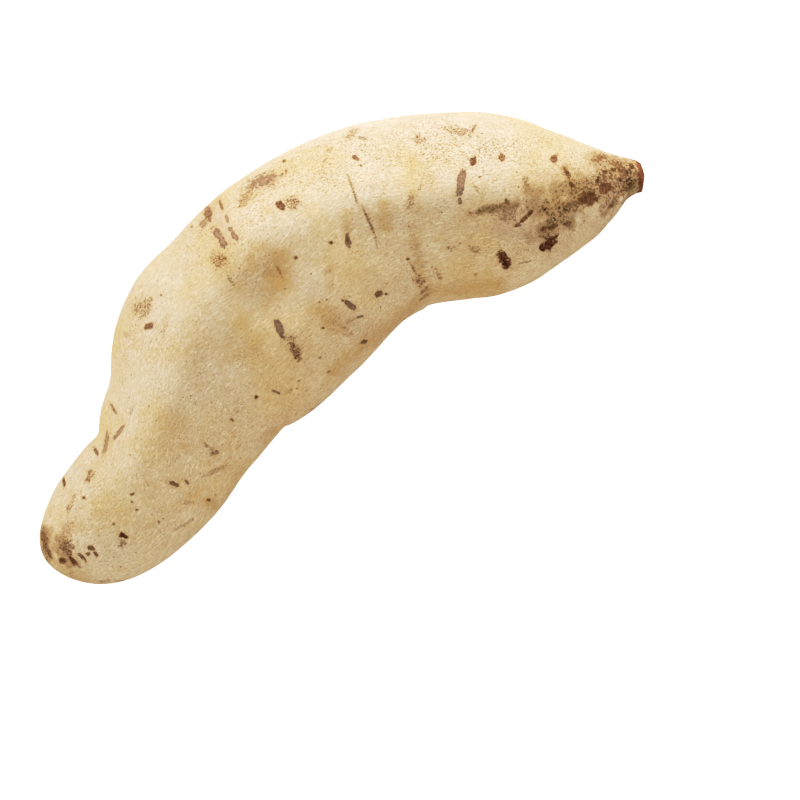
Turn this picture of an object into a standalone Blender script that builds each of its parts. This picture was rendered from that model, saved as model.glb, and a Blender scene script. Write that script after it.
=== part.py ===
"""A white-skinned sweet potato, lying on its side as picked.

The root grew as one piece, so it is one solid. It is a bent spindle: a blunt end on the left, a
narrow neck, a thick body that arches over, and a cut stalk end on the right. A flat sheet of
faces is rolled round the middle line of the root, and lumps and hollows are pressed into it.
It lies on a long flat spot under its body and on the underside of its blunt end.
X runs from the blunt end to the stalk end, Y towards the outside of the bend, Z up.
The origin is at the middle of the root's box, on the surface that it lies on.
"""

import math

import bmesh
import bpy
from mathutils import Vector, noise

# Driving dimensions, in metres
LENGTH = 0.215  # blunt end to stalk end, along X
THICKNESS = 0.067  # across the thickest cross-section
BLUNT_CAP = 0.018  # length over which the blunt end rounds off
STALK_CAP = 0.0016  # length over which the cut stalk end rounds off
REST_SOFTNESS = 0.0014  # height over which the skin curves up from the spots that it rests on

# The middle line of the root, from the blunt end to the stalk end.
# x and y are shares of LENGTH. Height, half width and half height are shares of THICKNESS.
STATIONS = (
    (-0.501, -0.1085, 0.235, 0.205, 0.222),
    (-0.399, -0.1105, 0.265, 0.286, 0.268),
    (-0.313, -0.0895, 0.300, 0.324, 0.300),
    (-0.237, -0.0475, 0.350, 0.370, 0.346),
    (-0.165, 0.000, 0.405, 0.450, 0.418),
    (-0.081, 0.0255, 0.447, 0.484, 0.456),
    (0.000, 0.0465, 0.457, 0.496, 0.467),
    (0.085, 0.053, 0.437, 0.469, 0.448),
    (0.169, 0.0465, 0.409, 0.442, 0.419),
    (0.2475, 0.015, 0.390, 0.423, 0.402),
    (0.3255, -0.0225, 0.385, 0.383, 0.352),
    (0.405, -0.0515, 0.378, 0.252, 0.238),
    (0.4495, -0.065, 0.374, 0.151, 0.146),
    (0.4705, -0.071, 0.372, 0.095, 0.093),
    (0.496, -0.0845, 0.370, 0.053, 0.053),
)

# Faces: round the root, along its body, and along each rounded end
SEGMENTS = 64
BODY_RINGS = 74
BLUNT_RINGS = 9
STALK_RINGS = 3

# Lumps and hollows. Where along the root (0 blunt end, 1 stalk end), the angle round it in
# degrees (0 outside of the bend, 90 top, 180 inside of the bend, 270 underside), the length
# and width over which it fades, and how far it stands out, all three in millimetres.
LUMPS = (
    # The blunt end, fuller on the outside of the bend than on the inside
    (0.055, 0, 7.0, 12.0, 0.6),
    (0.055, 180, 7.0, 12.0, -0.6),
    (0.130, 230, 9.0, 9.0, -0.8),
    # The neck behind it, pinched in on the outside
    (0.120, 0, 12.0, 16.0, 0.5),
    (0.190, 5, 6.0, 18.0, -1.4),
    (0.190, 180, 7.0, 16.0, 0.4),
    (0.300, 300, 12.0, 10.0, -1.0),
    (0.300, 180, 7.0, 14.0, 0.7),
    # The shoulder, where the neck opens into the body, and the saddle before it
    (0.298, 5, 7.0, 16.0, -1.1),
    (0.385, 0, 11.0, 18.0, 2.2),
    (0.330, 60, 12.0, 8.0, 0.7),
    (0.355, 180, 7.0, 14.0, -0.5),
    # The deep hollow on top, the swelling beside it and the dents before and behind
    (0.468, 90, 8.0, 8.0, -2.6),
    (0.455, 118, 8.0, 8.0, 1.5),
    (0.400, 105, 12.0, 7.0, -0.9),
    (0.600, 92, 8.0, 7.0, -0.8),
    # The thick middle
    (0.420, 160, 20.0, 12.0, 0.8),
    (0.545, 0, 7.0, 14.0, -0.6),
    (0.580, 15, 14.0, 16.0, 1.2),
    (0.620, 175, 9.0, 14.0, -1.2),
    (0.560, 235, 10.0, 10.0, -1.2),
    # The waist that rings the root, and the last swelling after it
    (0.690, 90, 3.5, 22.0, -0.5),
    (0.690, 200, 3.5, 22.0, -0.6),
    (0.720, 180, 6.0, 14.0, -0.5),
    (0.790, 130, 10.0, 14.0, 0.7),
    (0.795, 180, 6.0, 14.0, 0.7),
    (0.740, 330, 11.0, 10.0, 0.9),
    (0.860, 0, 6.0, 14.0, 0.8),
    (0.860, 180, 6.0, 14.0, -0.6),
)
MILLIMETRE = 0.001

# The blunt ridge along the top, where the side that faces out of the bend meets the side that
# faces up. Where along the root, the angle round it in degrees, and how far it stands out in
# millimetres.
RIDGE = (
    (0.00, 58, 0.0),
    (0.08, 62, 1.0),
    (0.21, 72, 1.3),
    (0.33, 80, 2.0),
    (0.41, 71, 2.4),
    (0.49, 63, 2.5),
    (0.57, 69, 2.3),
    (0.68, 83, 2.1),
    (0.80, 82, 1.7),
    (0.90, 74, 0.9),
    (1.00, 72, 0.0),
)
RIDGE_WIDTH = 16.0  # degrees round the root over which the ridge fades
FLAT_AT = 38.0  # degrees from the ridge to the flatter strip on each side of it
FLAT_WIDTH = 24.0  # degrees over which a flatter strip fades
FLAT_SHARE = 0.55  # how far a strip is pressed in, as a share of the ridge

# Slow unevenness of a grown skin: size of the waves and how far they stand out
WAVES = ((0.030, 0.0007), (0.012, 0.00025))
WAVE_ORIGIN = Vector((3.1, 7.4, 1.9))

DIRECTION_STEP = 0.001  # the middle line's direction is read this far ahead and behind
SAME_POINT = 0.000001  # corners closer than this are joined


def remove_old_objects():
    """Empties the scene, so that only the root is in it."""
    for old in list(bpy.data.objects):
        bpy.data.objects.remove(old)


def in_metres(row):
    """One station: its middle point, half width and half height."""
    x, y, z, wide, tall = row
    return (x * LENGTH, y * LENGTH, z * THICKNESS, wide * THICKNESS, tall * THICKNESS)


def distances_between(rows):
    """How far along the middle line each station is."""
    far = [0.0]
    for here, there in zip(rows, rows[1:]):
        far.append(far[-1] + (Vector(there[:3]) - Vector(here[:3])).length)
    return far


ROWS = [in_metres(row) for row in STATIONS]
FAR = distances_between(ROWS)
ROOT_LENGTH = FAR[-1]


def slope(index, column):
    """How fast a column changes at a station, from its neighbours."""
    before = max(index - 1, 0)
    after = min(index + 1, len(ROWS) - 1)
    return (ROWS[after][column] - ROWS[before][column]) / (FAR[after] - FAR[before])


def station(distance):
    """The five columns at any distance along the root, on a smooth curve through the stations."""
    index = 0
    while index < len(FAR) - 2 and distance > FAR[index + 1]:
        index += 1
    span = FAR[index + 1] - FAR[index]
    t = (distance - FAR[index]) / span
    values = []
    for column in range(len(ROWS[0])):
        start, end = ROWS[index][column], ROWS[index + 1][column]
        leave, arrive = slope(index, column) * span, slope(index + 1, column) * span
        cubic = 2 * start - 2 * end + leave + arrive
        square = 3 * end - 3 * start - 2 * leave - arrive
        values.append(((cubic * t + square) * t + leave) * t + start)
    return values


def rounding(distance):
    """1 along the body, falling to 0 at each end as a quarter of an ellipse."""
    share = 1.0
    for to_end, cap in ((distance, BLUNT_CAP), (ROOT_LENGTH - distance, STALK_CAP)):
        if to_end < cap:
            share *= math.sqrt(max(0.0, 1.0 - (1.0 - to_end / cap) ** 2))
    return share


def lump_height(distance, angle, radius):
    """How far the lumps and hollows move the skin out at one place."""
    out = 0.0
    for where, degrees, length, width, rise in LUMPS:
        along = (distance - where * ROOT_LENGTH) / (length * MILLIMETRE)
        turn = math.remainder(angle - math.radians(degrees), math.tau)
        around = turn * radius / (width * MILLIMETRE)
        out += rise * MILLIMETRE * math.exp(-along * along - around * around)
    return out


def ridge_at(share):
    """The ridge's angle and height at a share of the root's length."""
    for (start, angle_1, rise_1), (end, angle_2, rise_2) in zip(RIDGE, RIDGE[1:]):
        if share <= end:
            break
    t = (share - start) / (end - start)
    ease = t * t * (3 - 2 * t)
    return angle_1 + (angle_2 - angle_1) * ease, rise_1 + (rise_2 - rise_1) * ease


def ridge_height(distance, angle):
    """How far the ridge moves the skin out at one place, and the flatter strips move it in."""
    degrees, rise = ridge_at(distance / ROOT_LENGTH)
    turn = math.degrees(math.remainder(angle - math.radians(degrees), math.tau))
    out = math.exp(-((turn / RIDGE_WIDTH) ** 2))
    for side in (-FLAT_AT, FLAT_AT):
        out -= FLAT_SHARE * math.exp(-(((turn - side) / FLAT_WIDTH) ** 2))
    return out * rise * MILLIMETRE


def wave_height(point):
    """The slow unevenness of the skin at a point."""
    return sum(rise * noise.noise(point / size + WAVE_ORIGIN) for size, rise in WAVES)


def skin_point(distance, angle):
    """The skin at a distance along the root and an angle round it."""
    x, y, z, wide, tall = station(distance)
    ahead = Vector(station(min(distance + DIRECTION_STEP, ROOT_LENGTH))[:3])
    behind = Vector(station(max(distance - DIRECTION_STEP, 0.0))[:3])
    forward = (ahead - behind).normalized()
    outward = Vector((-forward.y, forward.x, 0.0)).normalized()
    upward = forward.cross(outward)
    centre = Vector((x, y, z))
    ray = outward * (wide * math.cos(angle)) + upward * (tall * math.sin(angle))
    extra = lump_height(distance, angle, wide) + ridge_height(distance, angle)
    extra += wave_height(centre + ray)
    return centre + ray.normalized() * (ray.length + extra) * rounding(distance)


def soft_floor(height):
    """Flattens what would reach below the surface, and curves up gently from the flat spot."""
    if height <= 0.0:
        return 0.0
    if height < REST_SOFTNESS:
        return height * height / (2 * REST_SOFTNESS)
    return height - REST_SOFTNESS / 2


def ring_distances():
    """Where the rings of faces lie: even steps along the body, even turns round each end."""
    quarter = math.pi / 2
    blunt = [
        BLUNT_CAP * (1 - math.cos(quarter * n / BLUNT_RINGS)) for n in range(BLUNT_RINGS)
    ]
    body_length = ROOT_LENGTH - BLUNT_CAP - STALK_CAP
    body = [BLUNT_CAP + body_length * n / BODY_RINGS for n in range(BODY_RINGS)]
    stalk = [
        ROOT_LENGTH - STALK_CAP * (1 - math.sin(quarter * n / STALK_RINGS))
        for n in range(STALK_RINGS + 1)
    ]
    return blunt + body + stalk


def roll_sheet(shape):
    """Rolls a flat sheet of faces into the root. Its ends close to a point and its seam is joined."""
    rings = ring_distances()
    cells_along = len(rings) - 1
    bmesh.ops.create_grid(shape, x_segments=cells_along, y_segments=SEGMENTS, size=0.5)
    for corner in shape.verts:
        ring = round((corner.co.x + 0.5) * cells_along)
        angle = (corner.co.y + 0.5) * math.tau
        point = skin_point(rings[ring], angle)
        corner.co = Vector((point.x, point.y, soft_floor(point.z)))
    bmesh.ops.remove_doubles(shape, verts=shape.verts, dist=SAME_POINT)
    bmesh.ops.recalc_face_normals(shape, faces=shape.faces)


def centre_on_origin(mesh):
    """Moves the mesh so that the middle of its box is over the origin."""
    for axis in (0, 1):
        values = [corner.co[axis] for corner in mesh.vertices]
        middle = (min(values) + max(values)) / 2
        for corner in mesh.vertices:
            corner.co[axis] -= middle


def skin_material():
    """The pale, dry, slightly waxy skin."""
    skin = bpy.data.materials.new("pale_skin")
    skin.use_nodes = True
    surface = skin.node_tree.nodes["Principled BSDF"]
    surface.inputs["Base Color"].default_value = (0.67, 0.51, 0.28, 1.0)
    surface.inputs["Roughness"].default_value = 0.55
    surface.inputs["Metallic"].default_value = 0.0
    return skin


def make_sweet_potato():
    """The whole root, as one closed solid."""
    shape = bmesh.new()
    roll_sheet(shape)
    mesh = bpy.data.meshes.new("sweet_potato")
    shape.to_mesh(mesh)
    shape.free()
    centre_on_origin(mesh)
    mesh.shade_smooth()
    mesh.materials.append(skin_material())
    root = bpy.data.objects.new("sweet_potato", mesh)
    bpy.context.scene.collection.objects.link(root)
    return root


remove_old_objects()
make_sweet_potato()
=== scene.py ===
# %% [markdown]
# # A white-skinned sweet potato
# A sweet potato is a swollen root. Its skin is thin, dry and pale straw, a little waxy where the
# light catches it, and marked by everything it met underground: brown scars, scabs, scratches,
# ochre stains, and a dirty, corky stalk end. All of that sits on one closed form, so this lesson
# makes one piece. The form comes from the imported solid, the marks are placed on the side that
# shows, and a seeded draw marks the sides that don't.

# %% Load the imported model
import math
import random

import bmesh
import bpy
import numpy as np
from mathutils import Matrix, Vector, noise
from mathutils.bvhtree import BVHTree


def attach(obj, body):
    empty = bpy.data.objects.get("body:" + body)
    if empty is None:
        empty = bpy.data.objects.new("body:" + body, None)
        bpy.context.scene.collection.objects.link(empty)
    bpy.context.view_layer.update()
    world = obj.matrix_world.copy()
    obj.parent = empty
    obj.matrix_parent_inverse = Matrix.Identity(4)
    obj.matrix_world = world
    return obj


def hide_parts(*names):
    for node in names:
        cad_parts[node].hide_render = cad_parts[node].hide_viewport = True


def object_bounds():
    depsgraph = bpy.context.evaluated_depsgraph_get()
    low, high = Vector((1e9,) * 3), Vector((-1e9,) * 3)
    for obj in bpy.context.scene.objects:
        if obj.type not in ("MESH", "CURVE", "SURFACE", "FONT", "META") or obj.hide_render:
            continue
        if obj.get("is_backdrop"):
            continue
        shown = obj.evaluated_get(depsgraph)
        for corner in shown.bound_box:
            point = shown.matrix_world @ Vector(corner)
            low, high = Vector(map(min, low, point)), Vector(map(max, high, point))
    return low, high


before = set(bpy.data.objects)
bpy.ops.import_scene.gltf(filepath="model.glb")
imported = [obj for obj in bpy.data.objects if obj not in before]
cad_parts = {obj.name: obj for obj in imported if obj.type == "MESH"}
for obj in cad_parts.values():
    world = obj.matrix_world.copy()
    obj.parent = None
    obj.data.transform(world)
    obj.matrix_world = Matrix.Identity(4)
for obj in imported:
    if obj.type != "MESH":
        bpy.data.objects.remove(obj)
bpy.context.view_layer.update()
MILLIMETRE = 0.001

# %% [markdown]
# ## The camera
# The root lies flat here, and the camera looks straight down on it. A long lens from high up
# gives the even, nearly parallel view of a product photograph. The camera comes first because
# the marks below are placed by where they show in the picture.

# %% Set up the camera
PICTURE = 800  # pixels, across and down
SENSOR = 36.0  # millimetres
LENS = 120.0  # millimetres
CAMERA_PLACE = Vector((0.00941, -0.03797, 0.825))
CAMERA_TURN = math.radians(-31.0)
PIXELS_PER_SLOPE = PICTURE * LENS / SENSOR

lens = bpy.data.cameras.new("camera")
lens.lens = LENS
lens.sensor_width = SENSOR
camera = bpy.data.objects.new("camera", lens)
camera.location = CAMERA_PLACE
camera.rotation_euler = (0.0, 0.0, CAMERA_TURN)
bpy.context.scene.collection.objects.link(camera)
bpy.context.scene.camera = camera


def sight(across, down):
    """The direction in which the camera sees a pixel of the picture."""
    right = (across - PICTURE / 2) / PIXELS_PER_SLOPE
    up = (PICTURE / 2 - down) / PIXELS_PER_SLOPE
    return (Matrix.Rotation(CAMERA_TURN, 3, "Z") @ Vector((right, up, -1.0))).normalized()


print("camera", round(CAMERA_PLACE.z, 3), "m above the floor")

# %% [markdown]
# ## The form
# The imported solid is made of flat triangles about 3 mm wide. A sculptor would start from it too:
# the triangles are joined into four-sided faces, because a subdivision surface flows smoothly
# only along those, and two levels of Catmull-Clark bring the faces down to about 0.7 mm. That is
# fine enough to carve scars, wrinkles and a torn end as real shapes, and still under the
# 200,000 triangles that one piece may have.

# %% Copy the solid and refine it
SAME_POINT = 0.00001  # metres
JOIN_ANGLE = math.radians(60.0)  # two triangles are joined if they are no more uneven than this
REFINEMENTS = 2
TRIANGLE_LIMIT = 200000

shape = bmesh.new()
shape.from_mesh(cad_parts["sweet_potato"].data)
bmesh.ops.remove_doubles(shape, verts=shape.verts, dist=SAME_POINT)
bmesh.ops.join_triangles(
    shape,
    faces=shape.faces,
    angle_face_threshold=JOIN_ANGLE,
    angle_shape_threshold=JOIN_ANGLE,
)
rough_mesh = bpy.data.meshes.new("rough_root")
shape.to_mesh(rough_mesh)
shape.free()

rough = bpy.data.objects.new("rough_root", rough_mesh)
bpy.context.scene.collection.objects.link(rough)
smooth_form = rough.modifiers.new("smooth form", "SUBSURF")
smooth_form.levels = REFINEMENTS
smooth_form.render_levels = REFINEMENTS
evaluated = rough.evaluated_get(bpy.context.evaluated_depsgraph_get())
skin_mesh = bpy.data.meshes.new_from_object(evaluated)
skin_mesh.name = "skin"
bpy.data.objects.remove(rough)
skin_mesh.materials.clear()
skin_mesh.shade_smooth()

skin = bpy.data.objects.new("skin", skin_mesh)
bpy.context.scene.collection.objects.link(skin)
triangles = sum(len(face.vertices) - 2 for face in skin_mesh.polygons)
print("skin:", len(skin_mesh.vertices), "corners,", triangles, "triangles")
assert triangles < TRIANGLE_LIMIT


# %% Read the refined mesh as arrays
def read(items, name, width=3):
    """One property of every vertex, face or corner, as a table with a row for each."""
    flat = np.empty(len(items) * width, np.float32 if width == 3 else np.int32)
    items.foreach_get(name, flat)
    return flat.reshape(-1, width) if width > 1 else flat


points = read(skin_mesh.vertices, "co")
normals = read(skin_mesh.vertices, "normal")
face_middles = read(skin_mesh.polygons, "center")
face_normals = read(skin_mesh.polygons, "normal")
surface = BVHTree.FromPolygons(
    [Vector(point) for point in points.tolist()],
    [tuple(face.vertices) for face in skin_mesh.polygons],
)


def on_skin(across, down):
    """The place and normal of the skin where the camera sees it at a pixel."""
    place, normal, _, _ = surface.ray_cast(CAMERA_PLACE, sight(across, down))
    return place, normal


# %% [markdown]
# ## Straightening the root
# The grain of the skin, its wrinkles and its rings follow the bent root. A pattern can only follow
# it if every point knows how far along the root it is and which way round. So the middle line is
# found by cutting the solid into slices, and each point gets its place in the straightened root:
# distance along, and two distances out from the middle line. It is stored as an attribute that
# the material reads.

# %% Find the middle line
SLICES = 26
FINE_STEPS = 240  # points of the finished line
SMOOTHING = 31  # of those points are averaged for each

edges = np.linspace(points[:, 0].min(), points[:, 0].max(), SLICES + 1)
middles = []
for low, high in zip(edges, edges[1:]):
    inside = points[(points[:, 0] >= low) & (points[:, 0] <= high)]
    middles.append((inside.min(axis=0) + inside.max(axis=0)) / 2)
middles = np.array(middles)

steps = np.linspace(0, SLICES - 1, FINE_STEPS)
line = np.column_stack([np.interp(steps, np.arange(SLICES), column) for column in middles.T])
reach = SMOOTHING // 2
padded_line = np.pad(line, ((reach, reach), (0, 0)), mode="reflect", reflect_type="odd")
weights = np.hanning(SMOOTHING + 2)[1:-1]
weights /= weights.sum()
line = np.column_stack([np.convolve(column, weights, "valid") for column in padded_line.T])
hops = np.linalg.norm(np.diff(line, axis=0), axis=1)
line_along = np.concatenate([[0.0], np.cumsum(hops)])
line_forward = np.gradient(line, axis=0)
line_forward /= np.linalg.norm(line_forward, axis=1, keepdims=True)
line_outward = np.column_stack([-line_forward[:, 1], line_forward[:, 0], np.zeros(FINE_STEPS)])
line_outward /= np.linalg.norm(line_outward, axis=1, keepdims=True)
line_upward = np.cross(line_forward, line_outward)
ROOT_LENGTH = line_along[-1]
print("middle line:", round(ROOT_LENGTH / MILLIMETRE), "mm long")


# %% Give every point its place in the straightened root
BLOCK = 20000  # points at a time, which spares memory


def straighten(places):
    """Distance along the root, and the distances outward and upward from its middle line."""
    nearest = np.empty(len(places), np.int32)
    for start in range(0, len(places), BLOCK):
        gaps = places[start : start + BLOCK, None, :] - line[None, :, :]
        nearest[start : start + BLOCK] = np.einsum("ijk,ijk->ij", gaps, gaps).argmin(axis=1)
    away = places - line[nearest]
    along = line_along[nearest] + np.einsum("ij,ij->i", away, line_forward[nearest])
    outward = np.einsum("ij,ij->i", away, line_outward[nearest])
    upward = np.einsum("ij,ij->i", away, line_upward[nearest])
    return np.column_stack([along, outward, upward])


straight = straighten(points)


def store(name, values, domain="POINT"):
    """Keeps a number or a vector for every point or face corner, for the material to read."""
    kind, key = ("FLOAT", "value") if values.ndim == 1 else ("FLOAT_VECTOR", "vector")
    layer = skin_mesh.attributes.new(name, kind, domain)
    layer.data.foreach_set(key, np.ascontiguousarray(values, np.float32).ravel())


store("straight", straight)

# %% [markdown]
# ## The marks
# A scar could be painted on a picture, but this part uses none, and a mesh fine enough to hold a
# 1 mm dot by its corners alone would be huge. So each mark is only a small flat frame laid on the
# skin: a middle, a direction, a half length and a half width. Every face near it is told its own
# place in that frame, and the material draws the ragged edge, core and halo from it, sharp at any
# size. The frames are laid where the marks show in the picture.

# %% The kinds of mark
# dark: how black the core is. grey: brown to grey. broken: how far it falls apart into dots.
# ragged: how rough its edge is. depth: how deep it is sunk, in millimetres. A crust is a scab
# that wears off, an outline is a bar with a dark rim, and a smear is a smudge in one piece.
KINDS = {
    "scab": dict(dark=1.0, grey=0.0, broken=0.12, ragged=0.8, depth=0.24),
    "pock": dict(dark=0.75, grey=0.10, broken=0.18, ragged=0.6, depth=0.18),
    "dot": dict(dark=0.60, grey=0.05, broken=0.10, ragged=0.6, depth=0.05),
    "bar": dict(dark=0.35, grey=0.90, broken=0.12, ragged=0.5, depth=0.08),
    "crust": dict(dark=0.65, grey=0.15, broken=0.60, ragged=1.1, depth=0.10),
    "outline": dict(dark=0.15, grey=1.0, broken=0.15, ragged=0.85, depth=0.06),
    "freckles": dict(dark=0.35, grey=0.10, broken=0.95, ragged=0.9, depth=0.04),
    "smudge": dict(dark=0.05, grey=0.30, broken=0.80, ragged=1.2, depth=0.03),
    "smear": dict(dark=0.12, grey=0.85, broken=0.25, ragged=1.5, depth=0.03),
    "scratch": dict(dark=0.55, grey=0.10, broken=0.50, ragged=0.8, depth=0.08),
}

# Each row: kind, pixels across and down, half length and half width in pixels, the direction in
# degrees (0 to the right of the picture, 90 up) and how strongly it shows.
MARKS_OF_THE_BLUNT_END = (
    ("crust", 44, 539, 12, 4, -80, 1.0),
    ("pock", 49, 553, 6, 2.5, -68, 0.9),
    ("crust", 67, 548, 9, 7, -65, 1.0),
    ("scab", 73, 561, 8, 2.6, -52, 0.9),
    ("scab", 62, 561, 5, 3, 20, 0.8),
    ("smudge", 66, 531, 10, 6, 60, 0.5),
    ("pock", 91, 548, 4, 2.2, -20, 1.0),
    ("pock", 96, 554, 3, 2.2, -60, 0.9),
    ("pock", 82, 557, 6, 2, -50, 0.9),
    ("pock", 88, 554, 3, 2, 20, 0.8),
    ("scab", 123, 536, 5.2, 2.8, -25, 1.0),
    ("smudge", 122, 542, 4, 3, 80, 0.8),
    ("smudge", 104, 581, 5, 1.5, 10, 0.7),
    ("smudge", 122, 581, 5, 1.5, 0, 0.7),
    ("dot", 64, 482, 5, 2, -70, 1.0),
    ("smudge", 71, 504, 9, 2, 65, 0.8),
    ("dot", 84, 498, 2, 1.5, 0, 0.8),
    ("dot", 132, 494, 2.2, 1.3, 20, 0.8),
    ("dot", 132, 502, 1.5, 1.3, 0, 0.7),
    ("dot", 137, 510, 1.5, 1.3, 0, 0.9),
    ("dot", 114, 524, 1.5, 1.5, 0, 0.7),
    ("dot", 159, 522, 1.5, 1.5, 0, 0.7),
    ("crust", 89, 477, 7, 2.8, 65, 0.9),
    ("pock", 96, 451, 5, 2, -55, 0.8),
    ("bar", 106, 444, 11, 2.4, 78, 0.7),
    ("bar", 119, 432, 9, 2, 50, 0.7),
    ("scratch", 114, 409, 6, 1.5, -55, 0.8),
    ("scratch", 131, 411, 5, 1.5, 65, 0.5),
    ("pock", 174, 484, 5, 2.5, -20, 0.9),
    ("dot", 187, 482, 3, 1.5, -60, 0.8),
    ("scratch", 185, 524, 11, 1.5, 30, 0.4),
    ("scratch", 210, 448, 8, 1.8, -40, 0.5),
    ("pock", 215, 453, 4, 2.5, 10, 0.7),
    ("scratch", 215, 471, 12, 2.2, 32, 0.5),
    ("dot", 209, 500, 1.8, 1.5, 0, 1.0),
    ("smudge", 187, 503, 5, 2, 0, 0.4),
)
MARKS_OF_THE_SHOULDER = (
    ("pock", 208, 214, 9, 4.6, 104, 0.85),
    ("outline", 204, 223, 5, 3.6, 60, 0.9),
    ("bar", 221, 205, 6, 1.6, -66, 0.9),
    ("outline", 227, 219, 5, 1.7, -72, 0.9),
    ("outline", 230, 229, 3.2, 2.2, -60, 1.0),
    ("outline", 235, 236, 5, 2.2, -55, 1.0),
    ("outline", 220, 238, 11, 4.0, -60, 1.0),
    ("freckles", 218, 260, 9, 7, -50, 1.0),
    ("freckles", 230, 279, 9, 2, -50, 0.8),
    ("smear", 262, 181, 13, 6, 15, 1.0),
    ("smudge", 245, 198, 10, 6, 45, 0.9),
    ("pock", 281, 205, 6, 4, -35, 1.0),
    ("freckles", 292, 203, 11, 7, -10, 1.0),
    ("dot", 284, 161, 2, 1.8, 0, 0.9),
    ("dot", 286, 171, 1.5, 1.3, 0, 0.8),
    ("dot", 192, 227, 1.5, 1.3, 0, 0.8),
    ("dot", 161, 295, 1.5, 1.3, 0, 0.7),
    ("freckles", 142, 307, 11, 9, 50, 0.8),
    ("pock", 149, 326, 5, 3, 20, 0.9),
    ("smudge", 165, 328, 9, 2, 80, 0.4),
    ("smudge", 129, 334, 4, 3, 0, 0.4),
)
MARKS_OF_THE_MIDDLE = (
    ("bar", 280, 329, 10, 3.5, -66, 1.0),
    ("smudge", 289, 337, 5, 3, -20, 0.7),
    ("crust", 296, 352, 9, 4, -65, 1.0),
    ("dot", 296, 258, 2, 1.8, 0, 0.9),
    ("dot", 331, 243, 2, 1.8, 0, 1.0),
    ("pock", 348, 241, 8, 3, -82, 0.85),
    ("smudge", 328, 271, 4, 3, 0, 0.5),
    ("scratch", 280, 273, 7, 1.5, -65, 0.5),
    ("bar", 350, 305, 6.5, 2.8, -40, 1.0),
    ("dot", 343, 301, 2, 1.5, 0, 0.9),
    ("bar", 360, 317, 4, 1.2, 15, 0.9),
    ("smudge", 351, 320, 4, 2, 30, 0.6),
    ("smudge", 343, 328, 4, 2, -20, 0.5),
    ("smudge", 349, 334, 4, 2, 0, 0.4),
    ("pock", 364, 342, 3.5, 2, 30, 0.9),
    ("pock", 379, 294, 4.5, 3, 10, 0.9),
    ("dot", 386, 294, 1.5, 1.5, 0, 0.9),
    ("dot", 323, 328, 2, 1.5, 0, 0.7),
    ("dot", 329, 372, 2, 1.2, 30, 0.6),
    ("dot", 299, 381, 2, 1.2, 30, 0.6),
    ("bar", 276, 392, 4, 1.3, -25, 0.9),
    ("scratch", 288, 392, 4, 1.2, 35, 0.4),
    ("dot", 256, 397, 2, 1.8, 0, 1.0),
    ("dot", 232, 420, 2, 1.5, -30, 0.7),
    ("dot", 320, 358, 2, 1.5, 0, 0.5),
)
MARKS_OF_THE_CREST = (
    ("smudge", 352, 134, 6, 4, 60, 0.8),
    ("bar", 362, 138, 4, 1.8, -10, 0.7),
    ("smudge", 329, 150, 3, 2, 40, 0.6),
    ("smudge", 325, 160, 4, 1.8, 70, 0.6),
    ("pock", 356, 158, 4, 2.6, -30, 0.9),
    ("dot", 361, 166, 1.8, 1.2, -40, 0.7),
    ("smudge", 419, 139, 5, 4, -40, 0.9),
    ("smudge", 460, 132, 14, 4, -14, 0.9),
    ("scratch", 474, 128, 6, 1.5, 62, 0.9),
    ("scratch", 352, 187, 16, 1.6, -71, 0.8),
    ("scratch", 368, 219, 16, 1.6, -66, 0.9),
    ("scratch", 376, 240, 7, 1.2, -82, 0.4),
    ("smudge", 447, 161, 3, 2.5, 0, 0.7),
    ("bar", 461, 182, 14, 4.0, 80, 0.9),
    ("bar", 460, 201, 3, 2.0, 92, 0.9),
    ("pock", 473, 161, 5.5, 3.5, 72, 1.0),
    ("pock", 502, 157, 4.2, 3.4, 70, 0.9),
    ("pock", 554, 159, 4.4, 3.4, 60, 1.0),
    ("dot", 480, 177, 1.3, 1.2, 0, 0.8),
    ("scratch", 475, 187, 5, 1.2, -60, 0.5),
    ("freckles", 410, 201, 8, 3.5, 80, 0.7),
    ("smudge", 420, 188, 4, 1.5, 70, 0.6),
    ("dot", 408, 259, 1.8, 1.5, 0, 0.9),
    ("freckles", 420, 281, 6, 4, -60, 1.0),
    ("freckles", 439, 275, 5, 2.5, -60, 0.7),
    ("scratch", 423, 291, 6, 1.2, 40, 0.8),
    ("scratch", 424, 297, 6, 1.2, 38, 0.7),
    ("scratch", 413, 268, 6, 1.2, -60, 0.7),
    ("freckles", 452, 248, 6, 2, 0, 0.6),
    ("freckles", 476, 250, 5, 3, -20, 0.6),
    ("dot", 476, 274, 1.8, 1.2, 0, 0.5),
)
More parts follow.
